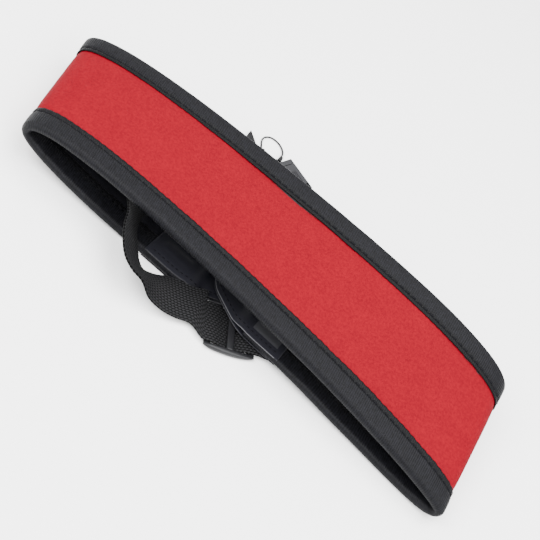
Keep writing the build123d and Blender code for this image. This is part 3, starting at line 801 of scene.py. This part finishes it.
def ribbon(name, node, stations, straight=False, body="strap"):
    """Woven webbing through stations of centre and half-width vector, in mm."""
    values = np.array([[*c, *w] for c, w in stations], dtype=float)
    length = np.linalg.norm(np.diff(values[:, :3], axis=0), axis=1).sum()
    rows = int(length / FINE)
    smooth, along = (straight_through if straight else spline_through)(values, rows)
    centre, wide = smooth[:, :3], smooth[:, 3:]
    tangent = np.gradient(centre, axis=0)
    tangent /= np.linalg.norm(tangent, axis=1)[:, None]
    rise = np.cross(tangent, wide)
    rise /= np.linalg.norm(rise, axis=1)[:, None]
    columns = int(2 * WEB_HALF / FINE)
    v = np.linspace(-1, 1, columns)
    aa, vv = np.meshgrid(along, v * WEB_HALF, indexing="ij")
    column = np.floor(vv / YARN)
    shift = (column % 2) * 0.5
    yarn = np.abs(np.sin(math.pi * vv / YARN))
    pick = np.abs(np.cos(math.pi * (aa / PICK + shift)))
    height = WEAVE_HEIGHT * (0.55 * yarn ** 0.6 + 0.6 * pick * yarn - 0.6)
    edge = np.clip((WEB_HALF - np.abs(vv)) / 0.5, 0, 1)
    round_off = (1 - np.sqrt(1 - (1 - edge) ** 2 * 0.98)) * WEB_THICK / 2
    top = WEB_THICK / 2 + height - round_off
    base = centre[:, None, :] + wide[:, None, :] * v[None, :, None]
    upper = base + rise[:, None, :] * top[..., None]
    lower = base - rise[:, None, :] * top[..., None]
    around = np.concatenate([upper, lower[:, ::-1]], axis=1)
    shifted = aa + shift * PICK
    maps = np.stack([shifted, vv], axis=-1)
    maps = np.concatenate([maps, maps[:, ::-1]], axis=1)
    mesh = grid_mesh(name, around, True, maps, caps=True)
    return place_piece(name, mesh, weave, body, [node])


def station(x, y, z, across, tilt=0.0):
    """A centre of the webbing and half its width, which heads across and tilts up."""
    a, b = math.radians(across), math.radians(tilt)
    level_half = math.cos(b) * WEB_HALF
    wide = (math.cos(a) * level_half, math.sin(a) * level_half, math.sin(b) * WEB_HALF)
    return ((x, y, z), wide)


def glide_station(s, z):
    """A station at s from the tri-glide's middle, along its heading."""
    x = GLIDE[0] + s * math.cos(GLIDE_TURN)
    y = GLIDE[1] + s * math.sin(GLIDE_TURN)
    return station(x, y, z, GLIDE_HEADING + 90)


threaded_path = [
    glide_station(21.5, 1.7), glide_station(17.0, 2.1), glide_station(14.0, 2.45),
    glide_station(10.3, 2.55), glide_station(7.6, 2.2), glide_station(4.6, 1.2),
    glide_station(1.6, 0.62), glide_station(0.02, 0.62),
]
front_path = [
    glide_station(-0.02, 0.62), glide_station(-1.6, 0.62), glide_station(-4.6, 1.2),
    glide_station(-7.6, 2.2), glide_station(-10.3, 2.55), glide_station(-12.5, 2.6),
    station(-7.9, -36.8, 3.5, 104, 4), station(-13.3, -40.1, 3.8, 97.5, 2),
    station(-19.5, -43.1, 4.6, 96, -2), station(-26, -45.0, 5.6, 93.5, -13),
    station(-32.4, -47.2, 8.0, 94, -38), station(-37.1, -48.9, 9.9, 89, -44),
    station(-40.8, -47.9, 10.8, 84, -44), station(-44.1, -45.9, 11.8, 80, -44),
    station(-48.0, -42.6, 13.6, 74, -47), station(-52.1, -37.6, 14.4, 77, -49),
    station(-54.6, -32.4, 14.7, 76, -49), station(-57.6, -24, 13.2, 55, -38),
    station(-59.8, -12, 10.5, 28, -20), station(-61, 0, 8.6, 10, -6), station(-61.2, 8, 7.6, 3),
]
threaded_half = ribbon("threaded_half", "threaded_webbing", threaded_path, body=None)
adjuster = ribbon("adjuster_webbing", "front_webbing", front_path, body=None)


# Each piece, and where it would start to follow the tri-glide and wholly does, along its heading;
# here only its placing is baked into its mesh, the two places are not used.
for piece, start, end in ((threaded_half, 21.5, 13.0), (adjuster, -26.0, -12.6)):
    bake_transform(piece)


REAR_FOLD, REAR_HEADING = (-34.0, 0.0), 97.0


def rear_station(along, z, turn=0.0):
    """A place on the webbing that leads to the rear; turn slants its width."""
    a = math.radians(REAR_HEADING)
    b = a - math.pi / 2
    wide = (
        math.cos(b) * WEB_HALF - turn * math.cos(a), math.sin(b) * WEB_HALF - turn * math.sin(a), 0,
    )
    return ((REAR_FOLD[0] + math.cos(a) * along, REAR_FOLD[1] + math.sin(a) * along, z), wide)


def fold_line(first, second):
    """Half of the line on which webbing is creased from one heading to another.

    Known fault: the true crease heads along (a + b) / 2, square to this line.
    """
    a, b = math.radians(first), math.radians(second)
    middle = (a + b + math.pi) / 2
    reach = WEB_HALF / abs(math.sin(middle - a))
    return (math.cos(middle) * reach, math.sin(middle) * reach, 0)


def facing(line, like):
    """The crease vector, pointing to the same side as the width it joins."""
    sign = 1 if line[0] * like[0] + line[1] * like[1] > 0 else -1
    return tuple(v * sign for v in line)


def creased(before, place, line, low, high, outward, after):
    """Stations up to a crease at place, half round from low to high, and on after it."""
    a = math.radians(outward)
    step = (math.cos(a), math.sin(a))
    line = facing(line, before[-1][1])
    bend = []
    for k in range(5):
        angle = math.pi * k / 4
        out = math.sin(angle) * abs(high - low) / 2
        z = (low + high) / 2 - math.cos(angle) * (high - low) / 2
        bend.append(((place[0] + step[0] * out, place[1] + step[1] * out, z), line))
    return before + bend + [(c, facing(w, line)) for c, w in after]


rear_lower = [station(13.0, 0, 4.85, -90), station(-13.8, 0, 4.85, -90), station(-21.3, 0, 6.0, -90)]
rear_upper = [
    rear_station(21.0, 7.1), rear_station(37.0, 7.1), rear_station(43.7, 5.1),
    rear_station(51.4, 1.4), rear_station(57.0, 0.6), rear_station(62.6, 0.6, 10.0),
]
rear_path = creased(
    rear_lower, REAR_FOLD, fold_line(180, REAR_HEADING), 6.0, 7.1, 228.5, rear_upper
)
ribbon("crossing_webbing", "rear_webbing", rear_path, straight=True)

front_lower = [
    station(-23.0, 0, 0.95, 90), station(3.7, 0, 0.95, 90), station(9.2, -0.3, 0.6, 84.5),
    station(17.2, -1.6, 0.6, 79),
]
front_upper = [glide_station(21.5, 1.7)]
turned_path = creased(
    front_lower, (46.0, -8.3), fold_line(-11, 210), 0.6, 1.7, 9.5, front_upper
)
ribbon("folded_webbing", "turned_webbing", turned_path, straight=True)

# ---- finishes of the pieces that stay as they are -------------------------------------
FINISH = {
    "pad_foam": foam, "webbing_hem": fuzzy,
    "buckle_socket": grey, "release_button": grey, "buckle_plug": grey,
    "link_tape": fuzzy, "cord_keeper": fuzzy, "cord_sleeve": fuzzy,
}
for node, material in FINISH.items():
    piece = frame["nodes"][node]
    if piece.material_slots:
        for spot in piece.material_slots:
            spot.material = material
    else:
        piece.data.materials.append(material)

# ---- floor and lights -----------------------------------------------------------------
floor_mesh = bpy.data.meshes.new("floor")
FLOOR_HALF = 3.0
corners = [(x * FLOOR_HALF, y * FLOOR_HALF, 0) for x, y in ((-1, -1), (1, -1), (1, 1), (-1, 1))]
floor_mesh.from_pydata(corners, [], [(0, 1, 2, 3)])
floor_mesh.materials.append(plain("floor_white", (0.93, 0.93, 0.93), 0.9, 0.1))
floor = bpy.data.objects.new("floor", floor_mesh)
scene.collection.objects.link(floor)


def softbox(name, place, size, power):
    """A round lamp that looks at the origin."""
    data = bpy.data.lights.new(name, "AREA")
    data.shape = "DISK"
    data.size = size
    data.energy = power
    lamp = bpy.data.objects.new(name, data)
    lamp.location = place
    lamp.rotation_euler = (-Vector(place)).to_track_quat("-Z", "Y").to_euler()
    scene.collection.objects.link(lamp)


softbox("key", (-0.5, -0.5, 0.9), 0.8, 30)
softbox("fill", (0.8, -0.4, 0.7), 0.8, 18)
softbox("top", (0.15, 0.2, 1.1), 0.9, 26)
softbox("rear", (-0.7, 0.9, 0.6), 0.7, 5)
world = bpy.data.worlds.new("World")
scene.world = world
world.use_nodes = True
sky = world.node_tree.nodes["Background"]
sky.inputs["Color"].default_value = (1, 1, 1, 1)
sky.inputs["Strength"].default_value = 1.2
